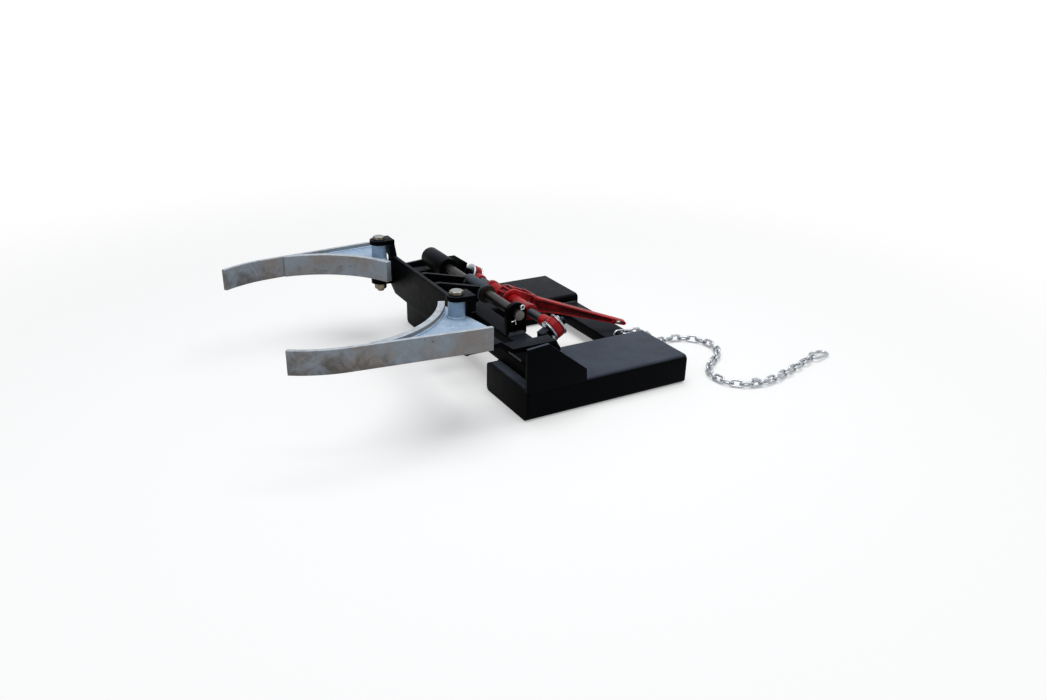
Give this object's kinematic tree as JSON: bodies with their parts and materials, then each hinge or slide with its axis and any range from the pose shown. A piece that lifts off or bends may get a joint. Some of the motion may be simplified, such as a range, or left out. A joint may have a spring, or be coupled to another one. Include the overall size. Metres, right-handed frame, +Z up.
{
  "type": "forklift drum lifter",
  "caption": "Steel drum-gripping attachment for lift-truck forks: fork pockets, a hinged head with curved clamping jaws and a ratchet binder that tightens them, plus a safety chain.",
  "frame": {"origin": "centre of the bounding box at floor level, with the safety chain and its hook left out", "axes": "+X from the jaws to the open ends of the fork pockets, +Z up, +Y to the side away from the chain"},
  "size_m": [1.4239, 0.8108, 0.2995],
  "materials": {
    "black_paint": "satin",
    "galvanised_steel": "galvanised",
    "red_enamel": "gloss",
    "bright_zinc": "bright zinc plate",
    "dark_steel": "oiled",
    "bronze": "plain",
    "yellow_zinc": "yellow zinc plate"
  },
  "bodies": {
    "frame": {"near_fork_pocket": "black_paint", "far_fork_pocket": "black_paint", "near_pocket_cap": "black_paint", "far_pocket_cap": "black_paint", "lower_cross_beam": "black_paint", "upper_cross_beam": "black_paint", "near_side_gusset": "black_paint", "far_side_gusset": "black_paint", "rear_cross_tube": "black_paint", "near_shaft_ear": "black_paint", "far_shaft_ear": "black_paint", "hinge_shaft": "dark_steel", "shaft_split_pins": "bright_zinc", "chain_staple": "black_paint", "safety_chain": "bright_zinc", "chain_joining_link": "bright_zinc", "snap_hook": "bright_zinc", "snap_gate_pin": "bright_zinc"},
    "snap_gate": {"snap_gate": "bright_zinc"},
    "head": {"hinge_sleeve": "black_paint", "sleeve_bushes": "bronze", "head_front_plate": "black_paint", "near_head_arm": "black_paint", "far_head_arm": "black_paint", "near_pivot_lugs": "black_paint", "far_pivot_lugs": "black_paint", "pivot_bolts": "yellow_zinc", "pivot_nuts": "yellow_zinc", "pivot_washers": "black_paint"},
    "near_jaw": {"near_jaw_bar": "galvanised_steel", "near_jaw_shoe": "galvanised_steel", "near_jaw_upper_web": "galvanised_steel", "near_jaw_lower_web": "galvanised_steel", "near_jaw_boss": "galvanised_steel", "near_jaw_bush": "bronze", "near_tail_lever": "black_paint", "near_tail_bolts": "black_paint", "near_anchor_stud": "black_paint", "near_anchor_pin": "bright_zinc"},
    "far_jaw": {"far_jaw_bar": "galvanised_steel", "far_jaw_shoe": "galvanised_steel", "far_jaw_upper_web": "galvanised_steel", "far_jaw_lower_web": "galvanised_steel", "far_jaw_boss": "galvanised_steel", "far_jaw_bush": "bronze", "far_tail_lever": "black_paint", "far_tail_bolts": "black_paint", "far_anchor_stud": "black_paint", "far_anchor_pin": "bright_zinc"},
    "near_rod": {"near_binder_eye": "red_enamel", "near_eye_washers": "bright_zinc", "near_screw_rod": "dark_steel"},
    "barrel": {"ratchet_barrel": "red_enamel", "ratchet_gear": "red_enamel"},
    "far_rod": {"far_binder_eye": "red_enamel", "far_eye_washers": "bright_zinc", "far_screw_rod": "dark_steel"},
    "handle": {"ratchet_handle": "red_enamel", "pawl_pin": "bright_zinc"},
    "pawl": {"ratchet_pawl": "red_enamel"}
  },
  "joints": [
    {"name": "head_rock", "type": "hinge", "parent": "frame", "child": "head", "pos_m": [0.078, 0, 0.204], "axis": [0, 1, 0], "range_deg": [0, 2]},
    {"name": "near_jaw_swing", "type": "hinge", "parent": "head", "child": "near_jaw", "pos_m": [-0.092, -0.232, 0.2245], "axis": [0, 0, 1], "range_deg": [-3, 8]},
    {"name": "far_jaw_swing", "type": "hinge", "parent": "head", "child": "far_jaw", "pos_m": [-0.092, 0.232, 0.2245], "axis": [0, 0, 1], "range_deg": [-8, 3]},
    {"name": "near_eye_swivel", "type": "hinge", "parent": "near_jaw", "child": "near_rod", "pos_m": [0.172, -0.216, 0.159], "axis": [0, 0, 1], "range_deg": [-8, 3]},
    {"name": "near_rod_screw", "type": "slide", "parent": "near_rod", "child": "barrel", "axis": [0, 1, 0], "range_m": [-0.037, 0.014]},
    {"name": "far_rod_screw", "type": "slide", "parent": "barrel", "child": "far_rod", "axis": [0, 1, 0], "range_m": [-0.037, 0.014]},
    {"name": "handle_swing", "type": "hinge", "parent": "barrel", "child": "handle", "pos_m": [0.172, 0.01, 0.159], "axis": [0, -1, 0], "range_deg": [0, 120]},
    {"name": "pawl_tilt", "type": "hinge", "parent": "handle", "child": "pawl", "pos_m": [0.21723, 0.01, 0.14623], "axis": [0, 1, 0], "range_deg": [-14, 14]},
    {"name": "snap_gate_hinge", "type": "hinge", "parent": "frame", "child": "snap_gate", "pos_m": [0.88956, -0.3778, 0.01006], "axis": [-0.0868, -0.0223, -0.996], "range_deg": [0, 25], "stiffness_Nm_per_rad": 0.05, "springref_deg": -11.46}
  ],
  "couplings": [
    {"joint": "far_jaw_swing", "follows": "near_jaw_swing", "ratio": -1},
    {"joint": "near_eye_swivel", "follows": "near_jaw_swing", "ratio": -1},
    {"joint": "near_rod_screw", "follows": "near_jaw_swing", "m_per_rad": -0.2626},
    {"joint": "far_rod_screw", "follows": "near_jaw_swing", "m_per_rad": -0.2626}
  ]
}
